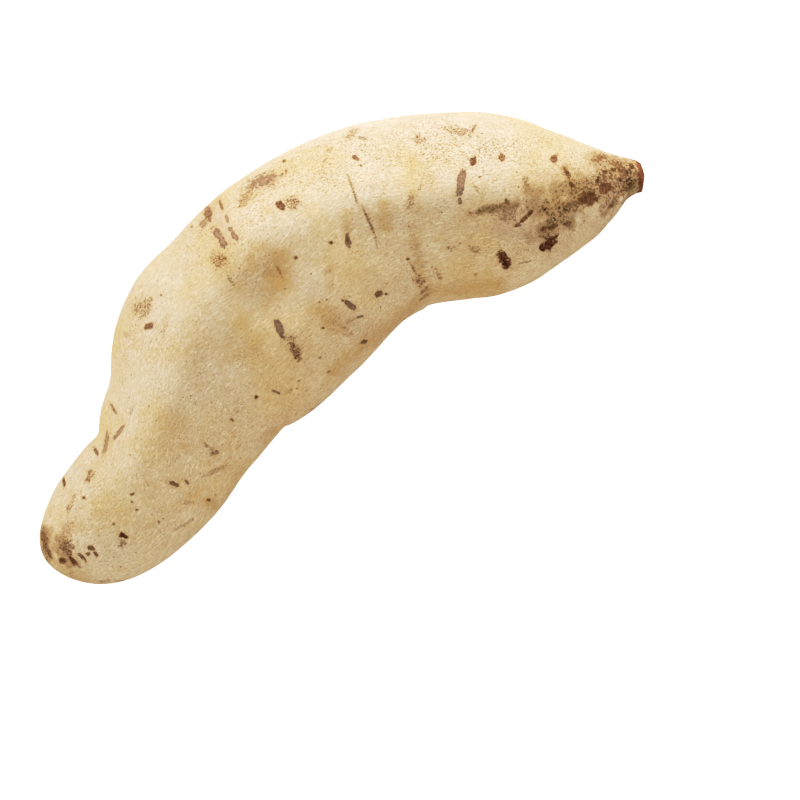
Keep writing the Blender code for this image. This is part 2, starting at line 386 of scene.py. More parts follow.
MARKS_OF_THE_STALK_END = (
    ("scab", 505, 260, 9, 5, -62, 1.0),
    ("scab", 549, 243, 10, 5.2, 42, 1.0),
    ("pock", 530, 213, 4, 2.0, 50, 1.0),
    ("pock", 524, 219, 5, 2.0, 40, 1.0),
    ("pock", 518, 225, 3.5, 2.2, 30, 0.9),
    ("scratch", 527, 262, 10, 1.0, 12, 0.6),
    ("smudge", 488, 209, 18, 3, 18, 0.9),
    ("smudge", 508, 214, 10, 6, 0, 0.7),
    ("pock", 507, 202, 4, 2, -70, 0.8),
    ("smudge", 526, 184, 7, 3, -80, 0.8),
    ("pock", 567, 172, 6, 2.2, -65, 0.9),
    ("pock", 572, 185, 3.5, 2.4, -30, 1.0),
    ("pock", 605, 188, 6.5, 5.2, 10, 1.0),
    ("pock", 589, 198, 10, 6.5, 20, 1.0),
    ("pock", 553, 227, 5, 2.5, 20, 0.9),
    ("pock", 543, 229, 3.5, 2, 20, 0.9),
    ("pock", 569, 224, 3.5, 2.2, 30, 0.7),
    ("crust", 612, 204, 9, 3.0, 58, 0.9),
    ("crust", 604, 206, 6, 2.5, 50, 0.8),
    ("crust", 600, 158, 7, 3, 20, 0.9),
    ("crust", 620, 168, 10, 4, -30, 0.9),
    ("pock", 605, 172, 3, 2.5, 0, 0.9),
    ("pock", 614, 170, 4, 2.5, 10, 0.9),
    ("pock", 631, 167, 3, 2, -60, 0.9),
    ("crust", 627, 188, 8, 4, 30, 0.9),
)
MARKS = (
    MARKS_OF_THE_BLUNT_END
    + MARKS_OF_THE_SHOULDER
    + MARKS_OF_THE_MIDDLE
    + MARKS_OF_THE_CREST
    + MARKS_OF_THE_STALK_END
)
print(len(MARKS), "marks placed by hand")


# %% Lay each mark on the skin
def picture_direction(degrees):
    """A direction in the picture, as a direction in the room."""
    return Matrix.Rotation(CAMERA_TURN + math.radians(degrees), 3, "Z") @ Vector((1.0, 0.0, 0.0))


def lay(kind, place, normal, lengthwise, crosswise, half_length, half_width, strength):
    """A mark's own frame on the skin, with its size in metres."""
    return dict(
        kind=kind,
        place=np.array(place),
        normal=np.array(normal),
        lengthwise=np.array(lengthwise) / half_length,
        crosswise=np.array(crosswise) / half_width,
        reach=max(half_length, half_width),
        strength=strength,
    )


laid = []
for kind, across, down, half_length, half_width, degrees, strength in MARKS:
    place, normal = on_skin(across, down)
    if place is None:
        print("this pixel is beside the root:", across, down)
        continue
    pixel = (CAMERA_PLACE - place).length / PIXELS_PER_SLOPE
    frame_axes = picture_direction(degrees), picture_direction(degrees + 90)
    sizes = (half_length * pixel, half_width * pixel)
    laid.append(lay(kind, place, normal, *frame_axes, *sizes, strength))

# %% [markdown]
# The sides that the picture doesn't show get marks of the same kinds, as often and as large. A
# seeded draw picks the faces, so that every run gives the same root.

# %% Mark the hidden sides
HIDDEN_MARKS = 130
HIDDEN_SEED = 41
HIDDEN_KINDS = ("dot",) * 6 + ("smudge",) * 4 + ("pock",) * 4 + ("freckles",) * 3
HIDDEN_KINDS += ("bar",) * 2 + ("scratch",) * 2 + ("scab",) * 2
HIDDEN_SIZES = dict(  # half length and how slim it is, smallest and largest
    scab=((1.2, 2.6), (0.4, 0.7)),
    pock=((0.8, 1.6), (0.4, 0.8)),
    dot=((0.4, 0.8), (0.6, 1.0)),
    bar=((1.5, 3.4), (0.2, 0.4)),
    freckles=((1.8, 4.0), (0.4, 0.9)),
    smudge=((1.2, 4.0), (0.3, 0.7)),
    scratch=((1.8, 5.0), (0.08, 0.15)),
)
HIDDEN_STRENGTHS = (0.5, 1.0)
HIDDEN_BELOW = 0.12  # how far up a face may point and still count as hidden

draw = random.Random(HIDDEN_SEED)
hidden_faces = np.flatnonzero(face_normals[:, 2] < HIDDEN_BELOW)
for _ in range(HIDDEN_MARKS):
    face = draw.choice(hidden_faces)
    kind = draw.choice(HIDDEN_KINDS)
    lengths, slimness = HIDDEN_SIZES[kind]
    half_length = draw.uniform(*lengths) * MILLIMETRE
    half_width = half_length * draw.uniform(*slimness)
    direction = Vector([draw.uniform(-1.0, 1.0) for _ in range(3)])
    strength = draw.uniform(*HIDDEN_STRENGTHS)
    place, normal = Vector(face_middles[face]), Vector(face_normals[face])
    lengthwise = (direction - normal * direction.dot(normal)).normalized()
    frame_axes = lengthwise, normal.cross(lengthwise)
    laid.append(lay(kind, place, normal, *frame_axes, half_length, half_width, strength))
print(len(laid), "marks in all")


# %% Tell every face its place in the nearest mark
HALO = 2.6  # a mark is drawn out to this many times its size
SAME_SIDE = 0.3  # a face belongs to a mark only if it faces nearly the same way
STEEPEST = 2.5  # where the skin falls away from the camera, a mark may be this much longer
NOWHERE = 9.0

closest = np.full(len(face_middles), HALO)
owner = np.full(len(face_middles), -1)
for number, mark in enumerate(laid):
    away = face_middles - mark["place"]
    u = away @ mark["lengthwise"]
    v = away @ mark["crosswise"]
    far = np.hypot(u, v)
    near = np.linalg.norm(away, axis=1) < STEEPEST * mark["reach"] * HALO + MILLIMETRE
    nearer = near & (face_normals @ mark["normal"] > SAME_SIDE) & (far < closest)
    closest[nearer] = far[nearer]
    owner[nearer] = number

corner_points = read(skin_mesh.loops, "vertex_index", 1)
face_sizes = read(skin_mesh.polygons, "loop_total", 1)
corner_owner = np.repeat(owner, face_sizes)
mark_place = np.zeros((len(corner_points), 3))
mark_place[:, 0] = NOWHERE
mark_look = np.zeros((len(corner_points), 3))
mark_edge = np.zeros(len(corner_points))
pits = np.zeros(len(points))
for number, mark in enumerate(laid):
    corners = np.flatnonzero(corner_owner == number)
    away = points[corner_points[corners]] - mark["place"]
    u = away @ mark["lengthwise"]
    v = away @ mark["crosswise"]
    look = KINDS[mark["kind"]]
    mark_place[corners] = np.column_stack([u, v, np.full(len(corners), mark["strength"])])
    mark_look[corners] = (look["dark"], look["grey"], look["broken"])
    mark_edge[corners] = look["ragged"]
    dip = look["depth"] * MILLIMETRE * mark["strength"] * np.exp(-(u * u + v * v))
    np.maximum.at(pits, corner_points[corners], dip)
store("mark_place", mark_place, "CORNER")
store("mark_look", mark_look, "CORNER")
store("mark_edge", mark_edge, "CORNER")
print("faces with a mark:", int((owner >= 0).sum()))


# %% [markdown]
# ## Soft stains, painted shade and light, dirt and wrinkles
# These have no edge, so a number for every corner of the mesh holds them well enough. Each is
# brushed on in strokes: a straight stroke from one pixel of the picture to another, with a
# half width, fading to nothing at its edge. The material breaks the brushed numbers up. Clean
# strokes take dirt away again, and the pepper lies along the crest, where the skin is grainier.
# The ochre strokes are partly real stains and partly painted shade, laid into the long hollow,
# the smaller hollows and the shallow groove round the root, and painted warm bounce light along
# the lower right edges. The cream strokes are partly paler skin and partly a painted highlight.

# %% A brush that paints where the camera looks
STROKE_FALL = 1.5  # how fast a stroke fades towards its edge
TURNED_AWAY = 0.2  # a stroke fades over this much as the skin turns away from the camera
STILL_SEEN = 0.3  # what is left of it on skin that is seen exactly from its side

from_camera = points - np.array(CAMERA_PLACE)
depth = -from_camera[:, 2]
picture_right = np.array(picture_direction(0))
picture_up = np.array(picture_direction(90))
seen_across = PICTURE / 2 + PIXELS_PER_SLOPE * (from_camera @ picture_right) / depth
seen_down = PICTURE / 2 - PIXELS_PER_SLOPE * (from_camera @ picture_up) / depth
towards_camera = -from_camera / np.linalg.norm(from_camera, axis=1, keepdims=True)
facing = np.einsum("ij,ij->i", normals, towards_camera)
seen = np.clip(facing / TURNED_AWAY + STILL_SEEN, 0.0, 1.0)


def brush(strokes):
    """For every point that the camera sees, how strongly the strokes cover it, from 0 to 1."""
    cover = np.zeros(len(points))
    for across_1, down_1, across_2, down_2, half_width, strength in strokes:
        way = (across_2 - across_1, down_2 - down_1)
        share = (seen_across - across_1) * way[0] + (seen_down - down_1) * way[1]
        share = np.clip(share / (way[0] ** 2 + way[1] ** 2), 0.0, 1.0)
        away_across = seen_across - across_1 - share * way[0]
        away = np.hypot(away_across, seen_down - down_1 - share * way[1])
        cover = np.maximum(cover, strength * np.exp(-STROKE_FALL * (away / half_width) ** 2))
    return cover * seen


# %% Brush strokes
# Each row: from across, down, to across, down, half width in pixels, strength
# Ochre strokes: real stains, and also painted shade in the hollows and the groove and painted warm
# bounce light along the lower right edges, as marked below.
STAIN_SHADE_AND_BOUNCE_STROKES = (
    # painted shade: ochre in the long hollow
    (276, 262, 279, 284, 21, 1.05),
    (264, 258, 276, 290, 30, 0.35),
    (52, 535, 72, 492, 20, 0.5),
    (436, 258, 448, 294, 15, 0.3),
    # painted shade: more ochre in the long hollow
    (262, 250, 250, 268, 16, 0.6),
    (283, 290, 272, 300, 14, 0.6),
    # painted shade: ochre in the hollow below the crest
    (345, 215, 348, 228, 12, 0.7),
    (383, 205, 386, 225, 12, 0.8),
    (237, 321, 240, 325, 15, 0.6),
    (255, 344, 252, 356, 16, 0.6),
    # painted shade: ochre in the small hollows of the middle
    (325, 312, 335, 324, 17, 0.9),
    (330, 290, 330, 262, 9, 0.6),
    # painted shade: ochre along the shallow groove that runs round the root
    (413, 155, 412, 225, 9, 0.5),
    (414, 240, 424, 296, 10, 0.6),
    (209, 502, 214, 505, 8, 0.9),
    (185, 420, 178, 423, 12, 0.5),
    (215, 202, 222, 206, 9, 0.7),
    (252, 190, 243, 203, 11, 0.5),
    (218, 256, 220, 264, 12, 0.45),
    (66, 533, 74, 525, 14, 0.5),
    (262, 205, 270, 210, 9, 0.5),
    (225, 470, 232, 462, 10, 0.5),
    (265, 440, 285, 424, 10, 0.6),
    (500, 125, 480, 120, 12, 0.3),
    (250, 190, 300, 160, 12, 0.3),
    # painted warm bounce light: ochre along the lower right edges
    (430, 292, 500, 284, 12, 0.85),
    (335, 370, 426, 294, 12, 0.8),
    (120, 420, 110, 445, 10, 0.4),
    (540, 215, 580, 190, 16, 0.7),
)
# Cream strokes: paler skin, and in the first row a painted highlight.
PALE_AND_HIGHLIGHT_STROKES = (
    # painted highlight: cream on the swelling below the long hollow
    (300, 286, 322, 292, 15, 1.5),
    (172, 382, 192, 412, 20, 1.2),
    (250, 215, 270, 240, 14, 0.8),
    (245, 300, 262, 318, 12, 0.5),
    (390, 262, 450, 240, 12, 0.4),
)
DIRT_STROKES = (
    (634, 174, 604, 180, 24, 1.14),
    (606, 180, 572, 192, 20, 1.00),
    (575, 204, 536, 204, 20, 0.80),
    (540, 202, 500, 212, 13, 0.38),
    (634, 164, 596, 160, 13, 1.05),
    (640, 178, 622, 184, 22, 1.05),
    (622, 184, 596, 193, 17, 1.10),
    (602, 193, 560, 211, 13, 1.14),
    (562, 211, 543, 233, 12, 1.05),
    (545, 210, 567, 222, 14, 1.05),
    (640, 168, 600, 158, 11, 1.05),
    (612, 172, 640, 172, 14, 1.0),
    (545, 200, 520, 203, 9, 0.72),
    (518, 204, 478, 212, 6, 0.9),
    (560, 190, 585, 184, 17, 0.9),
    (550, 192, 528, 190, 11, 0.68),
    (563, 168, 572, 186, 6, 0.9),
    (618, 198, 602, 216, 5, 0.8),
    (560, 226, 530, 236, 12, 0.6),
    (60, 545, 70, 560, 14, 0.75),
    (44, 530, 46, 560, 10, 0.9),
)
CLEAN_STROKES = (
    (606, 230, 628, 202, 5.0, 1.0),
    (628, 201, 645, 191, 4.5, 1.0),
)
PEPPER_STROKES = (
    (205, 235, 300, 165, 42, 1.0),
    (300, 165, 430, 145, 42, 1.0),
    (430, 145, 560, 155, 36, 1.0),
)
GREY_STROKES = (
    (505, 228, 540, 236, 16, 0.8),
    (545, 178, 575, 168, 16, 0.4),
    (340, 318, 366, 330, 14, 0.6),
    (212, 210, 226, 235, 14, 1.0),
    (580, 140, 600, 150, 14, 0.4),
    (252, 187, 271, 178, 8, 1.3),
)
WRINKLE_STROKES = (
    (230, 452, 285, 415, 13, 1.0),
    (390, 150, 420, 178, 17, 0.9),
    (412, 240, 430, 298, 12, 1.5),
    (115, 410, 130, 425, 12, 0.7),
    (601, 223, 630, 198, 11, 1.5),
    (605, 165, 625, 178, 9, 0.7),
    (350, 150, 390, 140, 14, 0.5),
    (375, 270, 400, 240, 18, 0.5),
    (60, 545, 50, 560, 8, 0.5),
)

# the ochre strokes with their painted shade and painted bounce light, and the cream strokes with
# their painted highlight
stain_shade_and_bounce = brush(STAIN_SHADE_AND_BOUNCE_STROKES)
pale_and_highlight = brush(PALE_AND_HIGHLIGHT_STROKES)
dirt = brush(DIRT_STROKES) * (1.0 - brush(CLEAN_STROKES))
grey = brush(GREY_STROKES)
pepper = brush(PEPPER_STROKES)
wrinkle = brush(WRINKLE_STROKES)

# %% [markdown]
# The stalk end is dirty and wrinkled all round, also where the picture doesn't look. There the
# distance along the root says how dirty it is.

# %% Dirt and wrinkles all round the stalk end
STALK_DIRT = 0.020  # metres of the root that the dirt covers
STALK_TIP = 0.008  # the last metres, which are dirty on the side that shows too
STALK_WRINKLES = 0.030
STALK_WRINKLE = 0.6  # how strong they are
SIDE_UP = 0.2  # skin that points up by less than this counts more and more as unseen
SIDE_FALL = 2.0

from_stalk = straight[:, 0].max() - straight[:, 0]
all_round = np.clip(1.0 - from_stalk / STALK_DIRT, 0.0, 1.0)
unseen = np.clip((SIDE_UP - normals[:, 2]) * SIDE_FALL, 0.0, 1.0)
dirt = np.maximum(dirt, all_round * np.maximum(unseen, from_stalk < STALK_TIP))
wrinkled_end = np.clip(1.0 - from_stalk / STALK_WRINKLES, 0.0, 1.0)
wrinkle = np.maximum(wrinkle, STALK_WRINKLE * wrinkled_end)
brushed = dict(stain_shade_and_bounce=stain_shade_and_bounce, pale_and_highlight=pale_and_highlight, dirt=dirt, grey=grey, pepper=pepper, wrinkle=wrinkle)
for name, values in brushed.items():
    store(name, values)
    print(name, "is", round(float(values.max()), 2), "at its strongest")

# %% [markdown]
# ## Carving the skin
# What the hand would feel is carved into the mesh, along each point's normal: slow unevenness,
# small dimples, the pits of the scars, lengthwise wrinkles and the torn stalk end. Noise gives
# the unevenness, read in the straightened root so that wrinkles run along it. The spots that it
# rests on stay flat, because the floor is flat.

# %% Relief
UNEVENNESS = ((0.011, 0.00013), (0.0045, 0.00007), (0.0021, 0.00003))  # size and rise, in metres
WRINKLE_SIZE = Vector((0.014, 0.0018, 0.0018))  # along the root and across it
WRINKLE_DEPTH = 0.00020
WRINKLE_EVERYWHERE = 0.10  # the share of it that all skin has
REST_HEIGHT = 0.0006  # below this the relief fades out
NOISE_ORIGIN = Vector((5.3, 1.7, 8.2))


def relief(point, place):
    """How far noise moves the skin out at one point."""
    out = 0.0
    for size, rise in UNEVENNESS:
        out += rise * noise.noise(point / size + NOISE_ORIGIN)
    along = Vector([distance / size for distance, size in zip(place, WRINKLE_SIZE)])
    return out, noise.noise(along) * WRINKLE_DEPTH


noise_rows = [relief(Vector(p), Vector(s)) for p, s in zip(points.tolist(), straight.tolist())]
uneven, wrinkled = np.array(noise_rows).T
rise = uneven + wrinkled * (WRINKLE_EVERYWHERE + wrinkle) - pits

# %% [markdown]
# The torn end face of the stalk is hollow in the middle, with fibres standing up round its rim.
# The rim is found by its slant: there the skin turns from facing along the root to facing out.

# %% The torn end face
END_FACE = 0.0030  # metres: how much of the tip is its torn end face
END_HOLLOW = 0.0009
END_HOLLOW_WIDTH = 0.0028
END_FIBRES = 0.0005
FIBRE_SIZE = 0.0009
END_CORNER = 0.0008  # how far the rim of the end face stands out, where the solid is round
CORNER_SLANT = 0.62  # how nearly skin on the rim faces along the root, 1 being exactly
CORNER_WIDTH = 0.38
CORNER_REACH = 1.5  # the rim stands out fully up to 0.5 of END_ROUND, and not past 1.5 of it
END_ROUND = 0.004
END_SPREAD = 1.6  # the colour of the torn face reaches this much further than its fibres

end_radius = np.hypot(straight[:, 1], straight[:, 2])
tip_share = np.clip(1.0 - from_stalk / END_FACE, 0.0, 1.0)
fibre = np.array([noise.noise(Vector(p) / FIBRE_SIZE) for p in points.tolist()])
rise += tip_share * (fibre * END_FIBRES)
ends_on = np.einsum("ij,j->i", normals, line_forward[-1])
corner_share = np.clip(1.0 - np.abs(ends_on - CORNER_SLANT) / CORNER_WIDTH, 0.0, 1.0)
rise += corner_share * END_CORNER * np.clip(CORNER_REACH - from_stalk / END_ROUND, 0.0, 1.0)
rise -= tip_share * END_HOLLOW * np.clip(1.0 - end_radius / END_HOLLOW_WIDTH, 0.0, 1.0)
store("cut_face", np.clip(tip_share * END_SPREAD, 0.0, 1.0))

# %% Move the skin
lift = np.clip(points[:, 2] / REST_HEIGHT, 0.0, 1.0)
carved = points + normals * (rise * lift)[:, None]
carved[:, 2] = np.maximum(carved[:, 2], 0.0)
skin_mesh.vertices.foreach_set("co", np.ascontiguousarray(carved, np.float32).ravel())
skin_mesh.update()
print("relief, in mm:", round(rise.min() / MILLIMETRE, 2), "to", round(rise.max() / MILLIMETRE, 2))


# %% [markdown]
# ## The skin's material
# Every effect is a node group with named inputs, so that each can be understood and tuned by
# itself. A few short helpers keep the wiring readable.

# %% Helpers for wiring nodes
class Wiring:
    """Adds nodes to a material or a group, and links them as they are made."""

    def __init__(self, tree):
        self.tree = tree

    def node(self, kind, settings=None, **inputs):
        """Makes a node. Settings are its own options; inputs are values or sockets to link."""
        made = self.tree.nodes.new(kind)
        for name, value in (settings or {}).items():
            setattr(made, name, value)
        for name, value in inputs.items():
            self.feed(made.inputs[name.replace("_", " ")], value)
        return made

    def feed(self, socket, value):
        """Links a socket into an input, or sets the input to a plain value."""
        if isinstance(value, bpy.types.NodeSocket):
            self.tree.links.new(value, socket)
        else:
            socket.default_value = value

    def math(self, operation, a, b=0.0, c=0.0, clamp=False):
        """One step of arithmetic on numbers."""
        made = self.tree.nodes.new("ShaderNodeMath")
        made.operation = operation
        made.use_clamp = clamp
        for socket, value in zip(made.inputs, (a, b, c)):
            self.feed(socket, value)
        return made.outputs[0]

    def ramp(self, value, low, high, out_low=0.0, out_high=1.0):
        """Eases a number from one range to another."""
        made = self.tree.nodes.new("ShaderNodeMapRange")
        made.interpolation_type = "SMOOTHSTEP"
        for socket, part in zip(made.inputs, (value, low, high, out_low, out_high)):
            self.feed(socket, part)
        return made.outputs[0]

    def mix(self, factor, a, b, blend="MIX"):
        """Mixes two colours."""
        made = self.tree.nodes.new("ShaderNodeMix")
        made.data_type = "RGBA"
        made.blend_type = blend
        self.feed(made.inputs[0], factor)
        self.feed(made.inputs[6], a)
        self.feed(made.inputs[7], b)
        return made.outputs[2]

    def noise(self, vector, scale, detail=2.0, roughness=0.5):
        """Noise between 0 and 1 on a vector."""
        made = self.node("ShaderNodeTexNoise")
        self.feed(made.inputs["Vector"], vector)
        self.feed(made.inputs["Scale"], scale)
        self.feed(made.inputs["Detail"], detail)
        self.feed(made.inputs["Roughness"], roughness)
        return made.outputs["Fac"]

    def stretched(self, vector, scale):
        """A vector stretched by a different scale on each axis."""
        made = self.node("ShaderNodeMapping")
        self.feed(made.inputs["Vector"], vector)
        self.feed(made.inputs["Scale"], scale)
        return made.outputs["Vector"]

    def attribute(self, name):
        """An attribute of the mesh: its vector and its number."""
        made = self.node("ShaderNodeAttribute", {"attribute_name": name})
        return made.outputs["Vector"], made.outputs["Fac"]


def new_group(name, inputs, outputs):
    """An empty node group with named sockets: its wiring, its input node and its output node."""
    group = bpy.data.node_groups.new(name, "ShaderNodeTree")
    for title, kind in inputs:
        group.interface.new_socket(title, in_out="INPUT", socket_type="NodeSocket" + kind)
    for title, kind in outputs:
        group.interface.new_socket(title, in_out="OUTPUT", socket_type="NodeSocket" + kind)
    print("node group:", name, "puts out", ", ".join(title for title, _ in outputs))
    wiring = Wiring(group)
    return wiring, wiring.node("NodeGroupInput").outputs, wiring.node("NodeGroupOutput").inputs


# %% [markdown]
# ### Grain
# The skin is never one flat colour. Slow clouds shift it between cream and straw, small ochre
# mottles lie in them, fine fibres and lines run along the root, and a dusting of tiny freckles and
# pores lies over everything.

# %% Grain group
# Noise scales are cells to a metre. Two that follow the root have one for each of its directions.
CLOUD_SCALE = 38.0
MOTTLE_SCALE = 210.0
TOOTH_SCALE = 1500.0
FIBRE_SCALE = (560.0, 2300.0, 2300.0)
LINE_SCALE = (170.0, 1150.0, 1150.0)
LINE_PLACES_SCALE = 45.0
FRECKLE_SCALE = 1900.0
FRECKLE_PLACES_SCALE = 90.0
FRECKLE_LEVEL = 0.71  # noise above this is a freckle
FRECKLE_PLACES_SHARE = -0.24  # how much the level changes from place to place
PEPPER_SHARE = -0.035  # and with the pepper
FRECKLE_SOFTNESS = 0.07
PORE_SCALE = 480.0
PORE_SPREAD = 0.40  # how much the pores differ in size
PORE_LEAST = -0.17  # below nothing, so that many cells have no pore
PORE_SMALLEST = 0.02
PORE_HEART = 0.35  # the share of a pore that is fully dark
GRAIN_MASKS = ("Clouds", "Mottle", "Tooth", "Fibres", "Lines", "Freckles", "Pores")

grain, given, result = new_group(
    "skin grain",
    [("Place", "Vector"), ("Straight", "Vector"), ("Wrinkle", "Float"), ("Pepper", "Float")],
    [(name, "Float") for name in GRAIN_MASKS],
)
clouds = grain.noise(given["Place"], CLOUD_SCALE, 3.0, 0.6)
mottle = grain.ramp(grain.noise(given["Place"], MOTTLE_SCALE, 5.0, 0.72), 0.44, 0.70)
tooth = grain.ramp(grain.noise(given["Place"], TOOTH_SCALE, 2.0, 0.6), 0.42, 0.66)
along = grain.stretched(given["Straight"], FIBRE_SCALE)
fibres = grain.ramp(grain.noise(along, 1.0, 3.0, 0.65), 0.38, 0.60)
lines = grain.noise(grain.stretched(given["Straight"], LINE_SCALE), 1.0, 3.0, 0.6)
line_places = grain.ramp(grain.noise(given["Straight"], LINE_PLACES_SCALE, 2.0), 0.5, 0.8)
line_weight = grain.math("MAXIMUM", line_places, given["Wrinkle"])
lines = grain.math("MULTIPLY", grain.ramp(lines, 0.50, 0.30), line_weight)
freckle_noise = grain.noise(given["Place"], FRECKLE_SCALE, 2.0, 0.6)
freckle_places = grain.noise(given["Place"], FRECKLE_PLACES_SCALE, 2.0, 0.5)
freckle_edge = grain.math("MULTIPLY_ADD", freckle_places, FRECKLE_PLACES_SHARE, FRECKLE_LEVEL)
freckle_edge = grain.math("MULTIPLY_ADD", given["Pepper"], PEPPER_SHARE, freckle_edge)
freckle_full = grain.math("ADD", freckle_edge, FRECKLE_SOFTNESS)
freckles = grain.ramp(freckle_noise, freckle_edge, freckle_full)
cells = grain.node("ShaderNodeTexVoronoi", Vector=given["Place"], Scale=PORE_SCALE)
chance = grain.node("ShaderNodeSeparateColor", Color=cells.outputs["Color"])
pore_size = grain.math("MULTIPLY_ADD", chance.outputs["Red"], PORE_SPREAD, PORE_LEAST)
pore_heart = grain.math("MULTIPLY", pore_size, PORE_HEART)
pores = grain.ramp(cells.outputs["Distance"], pore_size, pore_heart)
pores = grain.math("MULTIPLY", pores, grain.math("GREATER_THAN", pore_size, PORE_SMALLEST))
for name, mask in zip(GRAIN_MASKS, (clouds, mottle, tooth, fibres, lines, freckles, pores)):
    grain.feed(result[name], mask)

# %% [markdown]
# ### Marks
# The group takes a face's place in its mark and bends it with noise, so that no mark stays an
# ellipse. Then it works out how far that is from the middle, 1 being the mark's edge, and finer
# noise frays the edge. The greyer a mark is, the squarer it is and the darker its rim, and the
# greyest are pale inside it. From the distance come the mark with its gaps and crumbs, its dark
# lumps and the ochre halo in the skin round it.

# %% Mark group
WARP_SCALE = 520.0  # noise scales, in cells to a metre
EDGE_SCALE = 2100.0
CRUMB_SCALE = 1900.0
LUMP_SCALE = 1250.0
HALO_SCALE = 650.0
WARP_SIZE = 2.6  # how far noise bends, frays and spreads a mark, in half widths
EDGE_SIZE = 2.0
HALO_SIZE = 2.0
ROUND = 2.0  # the power that makes an ellipse, and what a grey mark adds for its square corners
SQUARER = 2.0
RIM_EVEN = 0.15  # the share of a rim that is even, and the share that comes in lumps
RIM_LUMPY = 0.85
RIM_DARK = 0.8
PALE_INSIDE = 0.12  # how much paler the greyest marks are inside their rim
GREYEST = 0.92

marks, given, result = new_group(
    "marks",
    [("Place", "Vector"), ("Mark", "Vector"), ("Look", "Vector"), ("Ragged", "Float")],
    [(name, "Float") for name in ("Mark", "Core", "Halo", "Grey", "Dark")],
)
u, v, strength = marks.node("ShaderNodeSeparateXYZ", Vector=given["Mark"]).outputs
look_parts = marks.node("ShaderNodeSeparateXYZ", Vector=given["Look"])
dark_share, grey_share, broken_share = look_parts.outputs
warp = marks.node("ShaderNodeTexNoise", Vector=given["Place"], Scale=WARP_SCALE, Detail=3.0)
warp_parts = marks.node("ShaderNodeSeparateColor", Color=warp.outputs["Color"]).outputs
warp_size = marks.math("MULTIPLY", given["Ragged"], WARP_SIZE)
sharpness = marks.math("MULTIPLY_ADD", grey_share, SQUARER, ROUND)
reaches = []
for side, part in ((u, "Red"), (v, "Green")):
    shift = marks.math("MULTIPLY", marks.math("SUBTRACT", warp_parts[part], 0.5), warp_size)
    moved = marks.math("ABSOLUTE", marks.math("ADD", side, shift))
    reaches.append(marks.math("POWER", moved, sharpness))
distance = marks.math("ADD", *reaches)
distance = marks.math("POWER", distance, marks.math("DIVIDE", 1.0, sharpness))
edge_noise = marks.math("SUBTRACT", marks.noise(given["Place"], EDGE_SCALE, 3.0, 0.65), 0.5)
push = marks.math("MULTIPLY", edge_noise, marks.math("MULTIPLY", given["Ragged"], EDGE_SIZE))
frayed = marks.math("ADD", distance, push)

crumb_noise = marks.noise(given["Place"], CRUMB_SCALE, 3.0, 0.65)
gaps = marks.math("MULTIPLY", broken_share, marks.ramp(crumb_noise, 0.55, 0.47))
body = marks.math("MULTIPLY", marks.ramp(frayed, 1.12, 0.88), marks.math("SUBTRACT", 1.0, gaps))
crumbs = marks.math("MULTIPLY", marks.ramp(crumb_noise, 0.60, 0.68), marks.ramp(distance, 2.2, 1.0))
crumbs = marks.math("MULTIPLY", crumbs, given["Ragged"])
body = marks.math("MULTIPLY", marks.math("MAXIMUM", body, crumbs), strength)

lumps = marks.ramp(marks.noise(given["Place"], LUMP_SCALE, 4.0, 0.7), 0.43, 0.55)
core = marks.math("MULTIPLY", marks.ramp(frayed, 1.08, 0.65), lumps)
core = marks.math("MULTIPLY", core, dark_share)
rim = marks.math("MULTIPLY_ADD", lumps, RIM_LUMPY, RIM_EVEN)
rim = marks.math("MULTIPLY", marks.ramp(frayed, 0.58, 0.84), rim)
rim = marks.math("MULTIPLY", rim, grey_share)
core = marks.math("MAXIMUM", core, marks.math("MULTIPLY", rim, RIM_DARK))
pale_inside = marks.math("MULTIPLY", marks.ramp(grey_share, GREYEST, 1.0), PALE_INSIDE)
pale_inside = marks.math("MULTIPLY", pale_inside, marks.ramp(frayed, 0.84, 0.58))
body = marks.math("MULTIPLY", body, marks.math("SUBTRACT", 1.0, pale_inside))

halo_noise = marks.math("SUBTRACT", marks.noise(given["Place"], HALO_SCALE, 3.0, 0.6), 0.5)
halo = marks.ramp(marks.math("MULTIPLY_ADD", halo_noise, HALO_SIZE, distance), 2.3, 0.7)
marks.feed(result["Mark"], body)
marks.feed(result["Core"], marks.math("MULTIPLY", core, body))
marks.feed(result["Halo"], marks.math("MULTIPLY", halo, strength))
marks.feed(result["Grey"], grey_share)
marks.feed(result["Dark"], dark_share)

# %% [markdown]
# ### Dirt
# Soil rubbed into the stalk end breaks up into a brown wash, dark specks and a few black blots.
# Each is the same brushed number plus noise of its own size, cut off at its own level.

# %% Dirt group
soil, given, result = new_group(
    "soil",
    [("Place", "Vector"), ("Dirt", "Float")],
    [("Wash", "Float"), ("Specks", "Float"), ("Blots", "Float")],
)
covered = soil.ramp(given["Dirt"], 0.02, 0.25)
for title, scale, weight, low, high in (
    ("Wash", 360.0, 2.0, 0.15, 0.85),
    ("Specks", 1150.0, 3.6, 0.96, 1.20),
    ("Blots", 620.0, 3.0, 1.22, 1.45),
):
    patches = soil.math("SUBTRACT", soil.noise(given["Place"], scale, 4.0, 0.62), 0.5)
    level = soil.math("MULTIPLY_ADD", patches, weight, given["Dirt"])
    soil.feed(result[title], soil.math("MULTIPLY", soil.ramp(level, low, high), covered))

# %% [markdown]
# ### Putting the skin together
# The colours are laid over each other in the order in which they lie on the root: clouds and
# stains in the skin, with the painted shade, painted bounce light and painted highlight brushed
# in among them, lines, freckles and pores on it, then soil, then the scars and the torn end.
# A little subsurface light softens it, as it does in any raw flesh under a thin skin.

